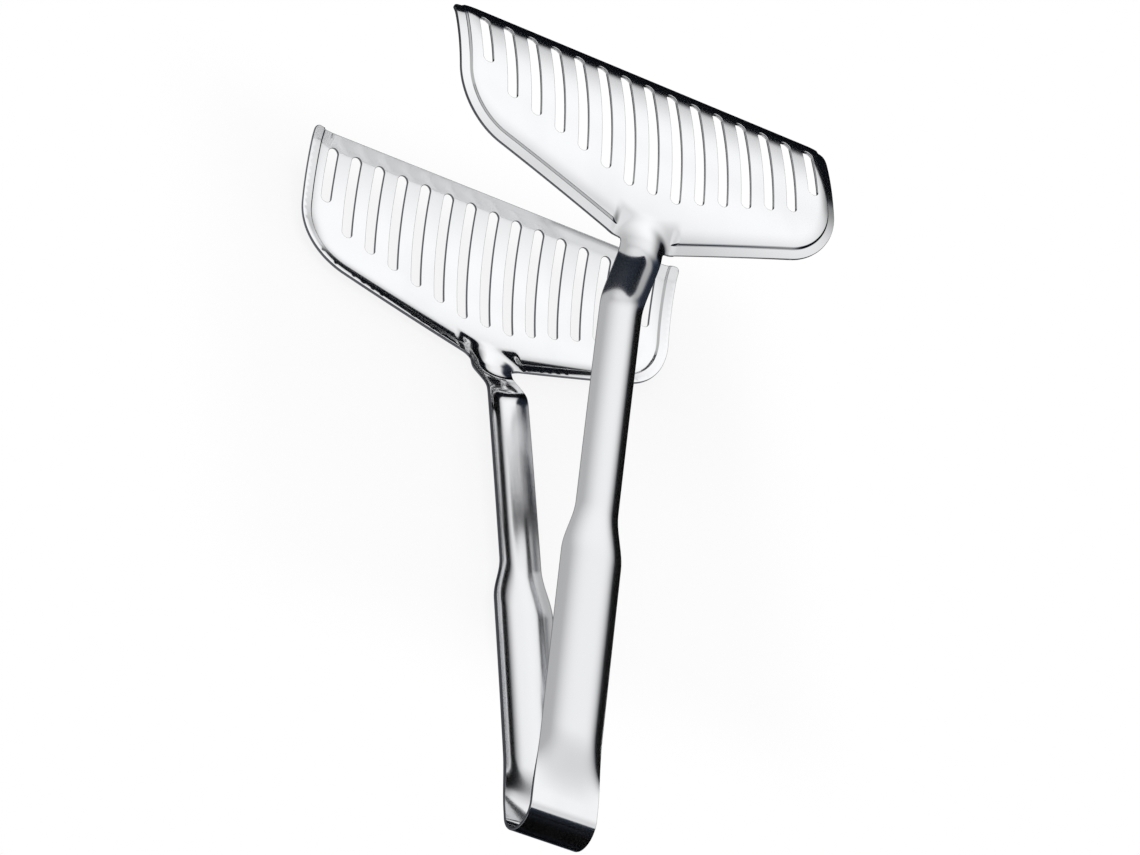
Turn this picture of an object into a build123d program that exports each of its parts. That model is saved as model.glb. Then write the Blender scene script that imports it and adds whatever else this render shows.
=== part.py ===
from build123d import *
import os
from math import asin, atan, atan2, cos, degrees, hypot, radians, sin, sqrt, tan

# Kitchen tongs pressed and bent from one strip of polished sheet. All lengths are in millimetres.
# "Along" runs on the mid-plane of the tongs from the back of the bow to the tips,
# "up" is the distance from that mid-plane to the outer face of the sheet.

# Sheet
thickness = 1.0

# Spring bow
bow_radius = 7.3
strip_width = 22.2
leg_length = 3.0
leg_angle = 7.5

# Arms
reach = 240.0
arm_sweep = 1.85
grip_width = 21.0
grip_crown = 3.1
shank_width = 15.0
shank_crown = 2.5
trough_run = 20.0
shoulder_at = 91.5
shoulder_run = 16.0

# Neck and nose
neck_run = 15.0
nose_inset = 3.25
nose_proud = 2.2

# Jaws
jaw_width = 134.4
jaw_length = 63.25
jaw_rise = 15.1
edge_slope = 18.0
corner_radius = 22.0
belly_radius = 96.0
crown_setback = 31.5
lip_setback = 4.0
lip_radius = 8.0
lip_turn = 14.0
rim_width = 3.0
rim_step = 2.4

# Slots
slot_count = 15
slot_width = 3.65
slot_side_margin = 8.68
slot_margin = 15.7
end_slot_margin = 22.5

# Part of a trough's crown by which its edges lie inside the arm's reference line
edge_drop_share = 0.15

# Number of straight pieces that make up each bent or widening stretch of the sheet
stretch_steps = 6

# One overrun serves every cut that runs past the sheet
overrun = 5.0

# Places along the tongs that follow from the sizes above
strip_half = strip_width / 2
grip_half = grip_width / 2
shank_half = shank_width / 2
jaw_half = jaw_width / 2
edge_apex = reach - jaw_length
nose_at = edge_apex + nose_inset
neck_at = nose_at - neck_run
crown_at = reach - crown_setback
lip_at = reach - lip_setback
slot_pitch = (jaw_width - 2 * slot_side_margin) / (slot_count - 1)

# The straight legs of the bow end here, measured on the outer face
tangent_along = bow_radius * (1 - sin(radians(leg_angle)))
tangent_up = bow_radius * cos(radians(leg_angle))
leg_end_along = tangent_along + leg_length * cos(radians(leg_angle))
leg_end_up = tangent_up + leg_length * sin(radians(leg_angle))


def eased(share):
    """Share from 0 to 1 that starts and ends gently."""
    return share * share * (3 - 2 * share)


def eased_rate(share):
    """Rate at which the eased share grows."""
    return 6 * share * (1 - share)


def between(start, end, share):
    """Value part of the way from start to end."""
    return start + (end - start) * share


def stretch(start, end):
    """Places along a stretch, each with the share of the stretch that lies behind it."""
    shares = [step / stretch_steps for step in range(stretch_steps + 1)]
    return [(between(start, end, share), share) for share in shares]


def arm_turn(along):
    """Angle of the arm to the mid-plane, which grows a little towards the neck."""
    return leg_angle + arm_sweep * (along - leg_end_along) / (neck_at - leg_end_along)


def arm_up(along):
    """Height of the arm's reference line over the mid-plane."""
    run = along - leg_end_along
    start_slope = tan(radians(leg_angle))
    end_slope = tan(radians(leg_angle + arm_sweep))
    bend = (end_slope - start_slope) / (2 * (neck_at - leg_end_along))
    return leg_end_up + run * start_slope + run * run * bend


def arm_places():
    """Places of an arm from the bow to the shank, each with its half width and crown."""
    places = []
    for along, share in stretch(leg_end_along, leg_end_along + trough_run):
        half = between(strip_half, grip_half, eased(share))
        places.append((along, half, grip_crown * eased(share)))
    for along, share in stretch(shoulder_at - shoulder_run / 2, shoulder_at + shoulder_run / 2):
        half = between(grip_half, shank_half, eased(share))
        places.append((along, half, between(grip_crown, shank_crown, eased(share))))
    return places


def crest_point(along, crown):
    """Highest point of an arm's section, as (along, up)."""
    crest = crown * (1 - edge_drop_share)
    turn = radians(arm_turn(along))
    return (along - crest * sin(turn), arm_up(along) + crest * cos(turn))


def tilt(start, start_radius, end, end_radius):
    """Angle of the line that lies on two circles, whose centres are given as (along, up)."""
    run = end[0] - start[0]
    rise = end[1] - start[1]
    return degrees(atan2(rise, run) + asin((end_radius - start_radius) / hypot(run, rise)))


# Heights of the jaw: its crown, the end of its belly and the tip of its lip
crown_up = arm_up(neck_at) + jaw_rise
belly_centre_up = crown_up - belly_radius
belly_end_turn = degrees(asin((lip_at - crown_at) / belly_radius))
tip_turn = belly_end_turn + lip_turn
lip_bend_run = lip_radius * (sin(radians(tip_turn)) - sin(radians(belly_end_turn)))
lip_bend_fall = lip_radius * (cos(radians(belly_end_turn)) - cos(radians(tip_turn)))
lip_length = (lip_setback - lip_bend_run) / cos(radians(tip_turn))
belly_end_up = belly_centre_up + belly_radius * cos(radians(belly_end_turn))
tip_up = belly_end_up - lip_bend_fall - lip_length * sin(radians(tip_turn))

# The nose stands proud of the belly, and its foot is level with the rim
nose_up = belly_centre_up + sqrt(belly_radius**2 - (crown_at - nose_at) ** 2) + nose_proud
nose_crown = nose_proud + rim_step

# The tongs lie on the lowest line that passes under them. Behind, it touches the bow or
# the crest of the lower arm. In front, it touches the nose or the belly of the lower jaw.
rear_rests = [((bow_radius, 0), bow_radius)]
rear_rests += [(crest_point(along, crown), 0) for along, half, crown in arm_places()]
front_rests = [((nose_at, nose_up), 0), ((crown_at, belly_centre_up), belly_radius)]
lean = min(max(tilt(*rear, *front) for front in front_rests) for rear in rear_rests)
lean_sin = sin(radians(lean))
lean_cos = cos(radians(lean))
bow_back_y = bow_radius * (lean_cos - 1)
lower_tip_y = reach * lean_cos + tip_up * lean_sin
origin_y = -(bow_back_y + lower_tip_y) / 2
origin_z = max(spot[1] * lean_cos + radius - spot[0] * lean_sin for spot, radius in rear_rests)

# The mid-plane of the tongs as they lie, and the side plane drawn as (along, up)
middle = Plane(origin=(0, origin_y, origin_z), x_dir=(1, 0, 0), z_dir=(0, -lean_sin, lean_cos))
side = Plane(origin=middle.origin, x_dir=middle.y_dir, z_dir=middle.x_dir)


def section_plane(along, up, turn):
    """Plane across the sheet whose x runs across the tongs and whose y points out of the arm."""
    heading = middle.y_dir * cos(radians(turn)) + middle.z_dir * sin(radians(turn))
    origin = middle.from_local_coords(Vector(0, along, up))
    return Plane(origin=origin, x_dir=middle.x_dir, z_dir=heading * -1)


def sheet_section(plane, half, crown, sink):
    """Sketch of the sheet's own section in an arm, arched between its two edges."""
    crest = crown * (1 - edge_drop_share)
    edge = crest - crown
    with BuildSketch(plane) as section:
        with BuildLine():
            if crown > 0:
                ThreePointArc((-half, edge), (0, crest), (half, edge))
                ThreePointArc((-half, edge - sink), (0, crest - sink), (half, edge - sink))
            else:
                Line((-half, edge), (half, edge))
                Line((-half, edge - sink), (half, edge - sink))
            Line((-half, edge), (-half, edge - sink))
            Line((half, edge), (half, edge - sink))
        make_face()
    return section.sketch


def arm_sections():
    """Sections of an arm from the bow to the neck: flat strip, grip, shoulder and shank."""
    sections = []
    for along, half, crown in arm_places():
        plane = section_plane(along, arm_up(along), arm_turn(along))
        sections.append(sheet_section(plane, half, crown, thickness))
    neck_plane = section_plane(neck_at, arm_up(neck_at), 0)
    neck_sink = thickness / cos(radians(arm_turn(neck_at)))
    sections.append(sheet_section(neck_plane, shank_half, shank_crown, neck_sink))
    return sections


def ramp_stations(skin):
    """Stations of the neck's ramp from the arm to the nose: plane at the crest, crown and sink."""
    crest_start = arm_up(neck_at) + shank_crown * (1 - edge_drop_share)
    stations = []
    for along, share in stretch(neck_at, nose_at):
        up = between(crest_start, nose_up, eased(share))
        slope = eased_rate(share) * (nose_up - crest_start) / neck_run
        turn = max(atan(slope), radians(arm_turn(neck_at)))
        crown = between(shank_crown, nose_crown, eased(share))
        stations.append((section_plane(along, up, 0), crown, skin / cos(turn)))
    return stations


def form_section(plane, crown, sink, below, wing):
    """Sketch of what lies under the arched sheet: lowered by sink, closed below, with side wings."""
    half = shank_half
    edge = -crown - sink
    outer = half + wing
    with BuildSketch(plane) as section:
        with BuildLine():
            ThreePointArc((-half, edge), (0, -sink), (half, edge))
            if wing > 0:
                Line((half, edge), (outer, edge))
                Line((-half, edge), (-outer, edge))
            Polyline((outer, edge), (outer, edge - below), (-outer, edge - below), (-outer, edge))
        make_face()
    return section.sketch


def neck_form(skin, below, wing):
    """Solid under the neck's ramp and round nose, lowered by the thickness of the skin."""
    stations = ramp_stations(skin)
    nose_plane, crown, sink = stations[-1]
    edge = -crown - sink
    foot = edge - below
    with BuildPart() as form:
        loft([form_section(*station, below, wing) for station in stations], ruled=True)
        with BuildSketch(nose_plane):
            with BuildLine():
                ThreePointArc((-shank_half, edge), (0, -sink), (shank_half, edge))
                Polyline((shank_half, edge), (shank_half, foot), (-shank_half, foot), (-shank_half, edge))
            make_face()
            with Locations((-shank_half, edge)):
                Rectangle(shank_width, 2 * (crown + below + overrun), mode=Mode.SUBTRACT)
        revolve(axis=Axis(nose_plane.origin, nose_plane.y_dir), revolution_arc=180)
    return form.part


def jaw_outline(inset):
    """Sketch of the jaw seen square to the mid-plane, drawn in by inset and left open past the tip."""
    half = jaw_half - inset
    apex = edge_apex + inset / cos(radians(edge_slope))
    shoulder = apex + half * tan(radians(edge_slope))
    end = reach + overrun
    with BuildSketch(middle) as outline:
        with BuildLine():
            Polyline((0, apex), (half, shoulder), (half, end), (-half, end), (-half, shoulder), (0, apex))
        make_face()
        corners = outline.vertices().group_by(Axis.Y)[1]
        fillet(corners, radius=corner_radius - inset)
    return outline.sketch


def jaw_form(inset, sink, past):
    """Solid under the jaw's face lowered by sink, inside the outline drawn in by inset."""
    outline = jaw_outline(inset)
    root_turn = degrees(asin((crown_at - edge_apex + overrun) / belly_radius))
    sweep = -root_turn - belly_end_turn
    with BuildPart() as form:
        with BuildSketch(side):
            with BuildLine():
                centre = (crown_at, belly_centre_up)
                belly = CenterArc(centre, belly_radius - sink, 90 + root_turn, sweep)
                bend = JernArc(belly @ 1, belly % 1, lip_radius - sink, -lip_turn)
                lip = PolarLine(bend @ 1, lip_length + past, direction=bend % 1)
                Polyline(lip @ 1, ((lip @ 1).X, -past), ((belly @ 0).X, -past), belly @ 0)
            make_face()
        extrude(amount=jaw_half + overrun, both=True)
        extrude(outline, amount=crown_up + overrun, dir=middle.z_dir, both=True, mode=Mode.INTERSECT)
    return form.part


# The jaw is the sheet left between a die, under its outer face, and a punch, under its inner face
rim_die = jaw_form(0, rim_step, 0)
panel_die = jaw_form(rim_width, 0, 0)
neck_die = neck_form(0, thickness, 0)
rim_punch = jaw_form(0, rim_step + thickness, overrun)
panel_punch = jaw_form(rim_width + thickness, thickness, overrun)
neck_punch = neck_form(thickness, overrun, thickness)

with BuildPart() as upper_jaw:
    add(rim_die)
    add(panel_die)
    add(neck_die)
    add(rim_punch, mode=Mode.SUBTRACT)
    add(panel_punch, mode=Mode.SUBTRACT)
    add(neck_punch, mode=Mode.SUBTRACT)
    with BuildSketch(middle):
        for number in range(slot_count):
            across = (number - (slot_count - 1) / 2) * slot_pitch
            steps = max(abs(across), slot_pitch)
            margin = end_slot_margin if number in (0, slot_count - 1) else slot_margin
            foot = edge_apex + steps * tan(radians(edge_slope)) + margin
            with Locations((across, (foot + lip_at) / 2)):
                SlotOverall(lip_at - foot, slot_width, rotation=90)
    extrude(amount=crown_up + overrun, mode=Mode.SUBTRACT)

with BuildPart() as upper_arm:
    loft(arm_sections(), ruled=True)

with BuildPart() as spring_bow:
    with BuildSketch(side):
        with BuildLine():
            centre_radius = bow_radius - thickness / 2
            back = CenterArc((bow_radius, 0), centre_radius, 90 + leg_angle, 180 - 2 * leg_angle)
            PolarLine(back @ 0, -leg_length, direction=back % 0)
            PolarLine(back @ 1, leg_length, direction=back % 1)
        trace(line_width=thickness)
    extrude(amount=strip_half, both=True)

with BuildPart() as lower_arm:
    mirror(upper_arm.part, about=middle)

with BuildPart() as lower_jaw:
    mirror(upper_jaw.part, about=middle)

os.makedirs("parts", exist_ok=True)
spring_bow.part.label = "spring_bow"
export_step(spring_bow.part, "parts/spring_bow.step")
upper_arm.part.label = "upper_arm"
export_step(upper_arm.part, "parts/upper_arm.step")
upper_jaw.part.label = "upper_jaw"
export_step(upper_jaw.part, "parts/upper_jaw.step")
lower_arm.part.label = "lower_arm"
export_step(lower_arm.part, "parts/lower_arm.step")
lower_jaw.part.label = "lower_jaw"
export_step(lower_jaw.part, "parts/lower_jaw.step")

print("lean", round(lean, 3), "mid-plane origin", round(origin_y, 3), round(origin_z, 3))
for piece in (spring_bow, upper_arm, upper_jaw, lower_arm, lower_jaw):
    print(piece.part.label, round(piece.part.volume, 1), "mm3")
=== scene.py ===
"""Kitchen tongs of polished sheet steel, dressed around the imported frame.

The tongs are one strip of sheet. A spring bow joins two limbs, and each limb is pressed into a
troughed arm, a steep neck with a round nose, and a wide slotted jaw. The shapes are worked out on
the mid-plane of the tongs, in millimetres, as (across, along, up), and are then laid on the table
as the frame has them, in metres. Angles that are held as sizes are in degrees.
"""

import logging
import math
from dataclasses import dataclass
from enum import Enum
from typing import Union

import bpy
from mathutils import Matrix, Vector
from mathutils.geometry import delaunay_2d_cdt


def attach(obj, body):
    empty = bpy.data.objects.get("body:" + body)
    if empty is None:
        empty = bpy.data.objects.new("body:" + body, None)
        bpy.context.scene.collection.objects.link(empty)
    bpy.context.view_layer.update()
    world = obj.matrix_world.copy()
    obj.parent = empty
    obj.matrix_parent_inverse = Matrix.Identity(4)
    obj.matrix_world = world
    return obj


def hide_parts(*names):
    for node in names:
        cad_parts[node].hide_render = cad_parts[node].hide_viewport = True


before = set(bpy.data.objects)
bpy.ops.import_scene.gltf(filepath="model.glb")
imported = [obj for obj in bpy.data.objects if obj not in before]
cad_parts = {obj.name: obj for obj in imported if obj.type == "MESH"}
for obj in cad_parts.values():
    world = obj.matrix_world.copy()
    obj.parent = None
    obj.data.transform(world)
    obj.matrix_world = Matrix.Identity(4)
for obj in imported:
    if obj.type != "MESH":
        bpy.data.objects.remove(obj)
log = logging.getLogger("tongs")

Number = Union[int, float, "Field"]
Triple = tuple[Number, Number, Number]
Feed = Union[Number, bool, str, tuple[float, ...], bpy.types.NodeSocket]
Colour = tuple[float, float, float]
Point = tuple[float, float]

MILLIMETRE = 0.001
WELD_DISTANCE = 0.0001
NEARLY_NOTHING = 0.0001
INSIDE_OF_LOOPS = 1
OUTPUT_LIMIT = 1e-6
FEWEST_ARC_STEPS = 4
STRAIGHT_DOWN = -90.0
WHITE = (1.0, 1.0, 1.0)
FACE_NORMAL = "face_normal"
# Marks the cut edges for a rougher finish and a painted dark shade.
DULL_SHADED_EDGE = "dull_shaded_edge"


class Half(Enum):
    """The two mirror-image halves of the tongs."""

    UPPER = 1.0
    LOWER = -1.0


class Blend(Enum):
    """How a ramp runs between its two ends."""

    STRAIGHT = "LINEAR"
    GENTLE = "SMOOTHSTEP"


class Field:
    """A value that varies over a surface, held by a socket of a node tree.

    Arithmetic on fields adds math nodes to the tree, so a formula reads as plain Python.
    """

    def __init__(self, tree: bpy.types.NodeTree, socket: bpy.types.NodeSocket) -> None:
        """Wraps one output socket.

        Args:
            tree: the node tree that the socket belongs to.
            socket: the output socket that carries the value.
        """
        self.tree = tree
        self.socket = socket

    def math(self, operation: str, *others: Number, first: Number | None = None) -> "Field":
        """Adds one math node.

        Args:
            operation: the node's operation.
            others: the further operands.
            first: the first operand, where it is not this field.

        Returns:
            The node's value.
        """
        node = self.tree.nodes.new("ShaderNodeMath")
        node.operation = operation
        operands = (self if first is None else first, *others)
        for socket, operand in zip(node.inputs, operands):
            plug(self.tree, operand, socket)
        return Field(self.tree, node.outputs[0])

    def __add__(self, other: Number) -> "Field":
        """Sum."""
        return self.math("ADD", other)

    def __radd__(self, other: Number) -> "Field":
        """Sum with a number on the left."""
        return self.math("ADD", other)

    def __sub__(self, other: Number) -> "Field":
        """Difference."""
        return self.math("SUBTRACT", other)

    def __rsub__(self, other: Number) -> "Field":
        """Difference with a number on the left."""
        return self.math("SUBTRACT", self, first=other)

    def __mul__(self, other: Number) -> "Field":
        """Product."""
        return self.math("MULTIPLY", other)

    def __truediv__(self, other: Number) -> "Field":
        """Quotient."""
        return self.math("DIVIDE", other)

    def __pow__(self, other: Number) -> "Field":
        """Power."""
        return self.math("POWER", other)

    def __abs__(self) -> "Field":
        """Magnitude."""
        return self.math("ABSOLUTE")

    def root(self) -> "Field":
        """Square root."""
        return self.math("SQRT")

    def sine(self) -> "Field":
        """Sine of an angle in radians."""
        return self.math("SINE")

    def cosine(self) -> "Field":
        """Cosine of an angle in radians."""
        return self.math("COSINE")

    def least(self, other: Number, rounding: Number = 0.0) -> "Field":
        """The smaller of two values.

        Args:
            other: the value to compare with.
            rounding: the difference within which the two run into each other.

        Returns:
            The smaller value.
        """
        return self.math("SMOOTH_MIN", other, rounding)

    def most(self, other: Number, rounding: Number = 0.0) -> "Field":
        """The larger of two values.

        Args:
            other: the value to compare with.
            rounding: the difference within which the two run into each other.

        Returns:
            The larger value.
        """
        return self.math("SMOOTH_MAX", other, rounding)

    def mixed(self, other: Number, share: "Field") -> "Field":
        """This value, moved towards another by a share."""
        return self + share * (other - self)

    def ramp(self, start: Number, end: Number, blend: Blend = Blend.GENTLE) -> "Field":
        """Share from 0 at start to 1 at end.

        Args:
            start: the value at which the share leaves 0.
            end: the value at which it reaches 1.
            blend: how it runs between them.

        Returns:
            The share.
        """
        node = self.tree.nodes.new("ShaderNodeMapRange")
        node.interpolation_type = blend.value
        for name, value in (("Value", self), ("From Min", start), ("From Max", end)):
            plug(self.tree, value, node.inputs[name])
        return Field(self.tree, node.outputs["Result"])


def plug(tree: bpy.types.NodeTree, value: Feed, socket: bpy.types.NodeSocket) -> None:
    """Feeds a plain value, a field or an output socket to an input socket.

    Args:
        tree: the tree that holds the socket.
        value: what to feed.
        socket: where to feed it.
    """
    source = value.socket if isinstance(value, Field) else value
    if isinstance(source, bpy.types.NodeSocket):
        tree.links.new(source, socket)
    else:
        socket.default_value = source


def axes_of(tree: bpy.types.NodeTree, vector: bpy.types.NodeSocket) -> tuple[Field, Field, Field]:
    """Splits a vector.

    Args:
        tree: the tree that the vector belongs to.
        vector: the output socket that carries it.

    Returns:
        Its x, y and z.
    """
    parts = tree.nodes.new("ShaderNodeSeparateXYZ")
    plug(tree, vector, parts.inputs[0])
    x, y, z = (Field(tree, socket) for socket in parts.outputs)
    return x, y, z


class GeometryTree:
    """A geometry node tree under construction, with named inputs for its sizes."""

    def __init__(self, name: str, sizes: dict[str, float], flags: dict[str, bool] | None = None) -> None:
        """Starts a tree with a geometry input, a material input and one input for each size.

        Args:
            name: the tree's name.
            sizes: the named inputs and their values.
            flags: named inputs that are true or false.
        """
        self.tree = bpy.data.node_groups.new(name, "GeometryNodeTree")
        self.tree.is_modifier = True
        self.values: dict[str, float | bool] = {**sizes, **(flags or {})}
        kinds = {"Geometry": "Geometry", "Material": "Material", **dict.fromkeys(sizes, "Float")}
        kinds.update(dict.fromkeys(flags or {}, "Bool"))
        for label, kind in kinds.items():
            self.tree.interface.new_socket(name=label, in_out="INPUT", socket_type=f"NodeSocket{kind}")
        self.tree.interface.new_socket(name="Geometry", in_out="OUTPUT", socket_type="NodeSocketGeometry")
        self.inputs = self.tree.nodes.new("NodeGroupInput")
        self.output = self.tree.nodes.new("NodeGroupOutput")

    def size(self, label: str) -> Field:
        """The named input as a field."""
        return Field(self.tree, self.inputs.outputs[label])

    def node(self, kind: str, values: dict[str, Feed] | None = None, **settings: str) -> bpy.types.Node:
        """Adds a node.

        Args:
            kind: the node's type.
            values: what to feed to its named inputs.
            settings: the node's own settings.

        Returns:
            The new node.
        """
        node = self.tree.nodes.new(kind)
        for key, value in settings.items():
            setattr(node, key, value)
        for label, value in (values or {}).items():
            plug(self.tree, value, node.inputs[label])
        return node

    def position(self) -> tuple[Field, Field, Field]:
        """Each point's place as three fields."""
        return axes_of(self.tree, self.node("GeometryNodeInputPosition").outputs["Position"])

    def attribute(self, label: str) -> Field:
        """A stored attribute as a field."""
        node = self.node("GeometryNodeInputNamedAttribute", {"Name": label}, data_type="FLOAT")
        return Field(self.tree, node.outputs["Attribute"])

    def vector(self, parts: Triple) -> bpy.types.NodeSocket:
        """A vector from its x, y and z."""
        return self.node("ShaderNodeCombineXYZ", dict(zip("XYZ", parts))).outputs[0]

    def stored(
        self, geometry: bpy.types.NodeSocket, label: str, value: Feed, kind: str = "FLOAT", domain: str = "POINT"
    ) -> bpy.types.NodeSocket:
        """Geometry with a value stored on it.

        Args:
            geometry: the geometry's socket.
            label: the name to store the value under.
            value: what to store.
            kind: the value's type.
            domain: what carries the value.

        Returns:
            The socket of the geometry that carries the value.
        """
        values = {"Geometry": geometry, "Name": label, "Value": value}
        return self.node("GeometryNodeStoreNamedAttribute", values, data_type=kind, domain=domain).outputs[0]

    def noted(self, geometry: bpy.types.NodeSocket, label: str, vector: Triple) -> bpy.types.NodeSocket:
        """Geometry with a vector stored at its points."""
        return self.stored(geometry, label, self.vector(vector), "FLOAT_VECTOR")

    def moved(self, geometry: bpy.types.NodeSocket, place: Triple) -> bpy.types.NodeSocket:
        """Geometry with its points moved to a place."""
        return self.node("GeometryNodeSetPosition", {"Geometry": geometry, "Position": self.vector(place)}).outputs[0]

    def face_side(self, height: Field, depth: Field) -> Field:
        """Tells the two faces of a slab from its edges.

        Args:
            height: the height over the inner face.
            depth: the depth under the outer face.

        Returns:
            1 on the outer face, -1 on the inner face and 0 on the edges between them.
        """
        face = (height - depth) / self.size("Thickness")
        return abs(face).math("GREATER_THAN", self.size("Face Share")) * face.math("SIGN")

    def slab(self, thickness: Number) -> bpy.types.NodeSocket:
        """Thickens the flat input sheet.

        Args:
            thickness: the slab's thickness.

        Returns:
            The socket of the closed slab, which has its inner face at height 0.
        """
        sheet = self.inputs.outputs["Geometry"]
        up = {"Mesh": sheet, "Offset": (0.0, 0.0, 1.0), "Offset Scale": thickness, "Individual": False}
        outer = self.node("GeometryNodeExtrudeMesh", up, mode="FACES")
        inner = self.node("GeometryNodeFlipFaces", {"Mesh": sheet})
        joined = self.node("GeometryNodeJoinGeometry")
        for side in (outer, inner):
            plug(self.tree, side.outputs["Mesh"], joined.inputs[0])
        closed = {"Geometry": joined.outputs[0], "Distance": WELD_DISTANCE}
        return self.node("GeometryNodeMergeByDistance", closed).outputs[0]

    def finish(self, geometry: bpy.types.NodeSocket) -> None:
        """Ends the tree: real geometry with its material.

        Args:
            geometry: the geometry to put out.
        """
        real = self.node("GeometryNodeRealizeInstances", {"Geometry": geometry})
        material = self.inputs.outputs["Material"]
        dressed = self.node("GeometryNodeSetMaterial", {"Geometry": real.outputs[0], "Material": material})
        plug(self.tree, dressed.outputs[0], self.output.inputs[0])

    def run(self, mesh: bpy.types.Mesh, material: bpy.types.Material | None, name: str) -> bpy.types.Mesh:
        """Runs the tree on a mesh and returns the plain result.

        Args:
            mesh: the mesh that goes in.
            material: the material that the tree sets.
            name: the name of the result.

        Returns:
            The new mesh.
        """
        blank = placed(name + "_blank", mesh)
        modifier = blank.modifiers.new(self.tree.name, "NODES")
        modifier.node_group = self.tree
        values = {**self.values, "Material": material}
        for item in self.tree.interface.items_tree:
            if item.in_out == "INPUT" and values.get(item.name) is not None:
                modifier[item.identifier] = values[item.name]
        result = plain_mesh(blank, name)
        bpy.data.objects.remove(blank)
        return result


def placed(name: str, data: bpy.types.ID) -> bpy.types.Object:
    """Makes an object and puts it in the scene.

    Args:
        name: the object's name.
        data: its mesh, lamp or camera.

    Returns:
        The object.
    """
    piece = bpy.data.objects.new(name, data)
    bpy.context.scene.collection.objects.link(piece)
    return piece


def plain_mesh(piece: bpy.types.Object, name: str) -> bpy.types.Mesh:
    """The mesh of an object with all its modifiers taken up in it.

    Args:
        piece: the object to read.
        name: the name of the new mesh.

    Returns:
        The plain mesh.
    """
    depsgraph = bpy.context.evaluated_depsgraph_get()
    mesh = bpy.data.meshes.new_from_object(piece.evaluated_get(depsgraph), depsgraph=depsgraph)
    mesh.name = name
    return mesh


@dataclass(frozen=True)
class TableFrame:
    """How the mid-plane of the tongs lies over the table."""

    lean: float = 11.498
    origin_y: float = -121.473
    origin_z: float = 6.9092

    def laid(self, across: Number, along: Number, up: Number) -> Triple:
        """A place on the tongs, laid on the table.

        Args:
            across: the distance to the right of the middle, in millimetres.
            along: the distance from the back of the bow, in millimetres.
            up: the height over the mid-plane, in millimetres.

        Returns:
            The place in metres.
        """
        x, y, z = self.turned(across, along, up)
        return x * MILLIMETRE, (y + self.origin_y) * MILLIMETRE, (z + self.origin_z) * MILLIMETRE

    def turned(self, across: Number, along: Number, up: Number) -> Triple:
        """A direction on the tongs, turned with them.

        Args:
            across: how far it runs to the right.
            along: how far it runs from the bow towards the tips.
            up: how far it runs up from the mid-plane.

        Returns:
            The direction in the table's frame.
        """
        slope_sin = math.sin(math.radians(self.lean))
        slope_cos = math.cos(math.radians(self.lean))
        return across, along * slope_cos - up * slope_sin, along * slope_sin + up * slope_cos


@dataclass(frozen=True)
class SheetSizes:
    """Sizes of the sheet and of its edges.

    A point lies on a face if it is at least face_share of the way to it from the middle of the sheet. There the
    formula's normal takes the place of the mesh's own, unless the cosine between the two is under flat_cosine.
    """

    thickness: float = 1.0
    edge_rounding: float = 0.2
    edge_segments: int = 2
    sharp_angle: float = 60.0
    crease_angle: float = 52.0
    seam_tolerance: float = 0.05
    face_share: float = 0.99
    flat_cosine: float = 0.55


@dataclass(frozen=True)
class BowSizes:
    """Sizes of the spring bow."""

    radius: float = 7.3
    strip_width: float = 22.2
    leg_length: float = 3.0
    leg_angle: float = 7.5

    @property
    def leg_end(self) -> Point:
        """Where a leg ends on the outer face.

        Returns:
            The place, as (along, up).
        """
        turn = math.radians(self.leg_angle)
        along = self.radius * (1 - math.sin(turn)) + self.leg_length * math.cos(turn)
        up = self.radius * math.cos(turn) + self.leg_length * math.sin(turn)
        return along, up


@dataclass(frozen=True)
class ArmSizes:
    """Sizes of an arm, from the bow to the neck."""

    grip_half: float = 10.5
    grip_crown: float = 3.1
    shank_half: float = 7.5
    shank_crown: float = 2.5
    grip_profile: float = 3.0
    shank_profile: float = 2.3
    crest_share: float = 0.85
    trough_end: float = 29.3
    shoulder_start: float = 83.5
    shoulder_end: float = 99.5
    rows_end: float = 161.0
    start_slope: float = 0.13165
    bend_rate: float = 0.000106


@dataclass(frozen=True)
class NeckSizes:
    """Sizes of the ramp and the nose."""

    foot_at: float = 164.2
    foot_up: float = 32.4
    slope: float = 0.79
    foot_rounding: float = 2.4
    top_rounding: float = 1.6
    crown_end: float = 182.0
    nose_at: float = 180.0
    nose_up: float = 42.6
    nose_slope: float = 0.25
    nose_run: float = 10.0
    nose_crown: float = 2.1
    profile: float = 2.0
    valley_rounding: float = 2.4
    corner_fillet: float = 1.2


@dataclass(frozen=True)
class JawSizes:
    """Sizes of a jaw's outline, belly, lip and rim."""

    reach: float = 240.0
    half_width: float = 67.2
    apex: float = 176.75
    edge_slope: float = 18.0
    corner_radius: float = 22.0
    tip_fillet: float = 1.6
    belly_radius: float = 96.0
    crown_at: float = 208.5
    belly_centre_up: float = -50.207
    tip_up: float = 39.68
    lip_slope: float = 0.5918
    lip_rounding: float = 0.8
    rim_step: float = 1.6
    flange_rise: float = 0.5
    wall_rise: float = 0.7
    step_start: float = 2.7
    wall_run: float = 0.52
    shoulder_run: float = 4.0
    wall_shift: float = 0.52
    soft_run: float = 10.0
    crease_start: float = 9.0
    crease_end: float = 12.0
    outside_fall: float = 4.0

    @property
    def back_slope(self) -> float:
        """How much further along the slanted back edge lies for each millimetre across."""
        return math.tan(math.radians(self.edge_slope))

    def back_edge(self, across: float) -> float:
        """How far along the slanted back edge lies at a distance from the middle."""
        return self.apex + across * self.back_slope

    @property
    def corner(self) -> Point:
        """The centre of the rounded back corner.

        Returns:
            The place, as (across, along).
        """
        slope = math.radians(self.edge_slope)
        across = self.half_width - self.corner_radius
        foot = across + self.corner_radius * math.sin(slope)
        return across, self.back_edge(foot) + self.corner_radius * math.cos(slope)


@dataclass(frozen=True)
class SlotSizes:
    """Sizes of the row of slots."""

    count: int = 15
    pitch: float = 8.36
    width: float = 3.65
    margin: float = 15.7
    end_margin: float = 22.5
    top_at: float = 236.0


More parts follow.
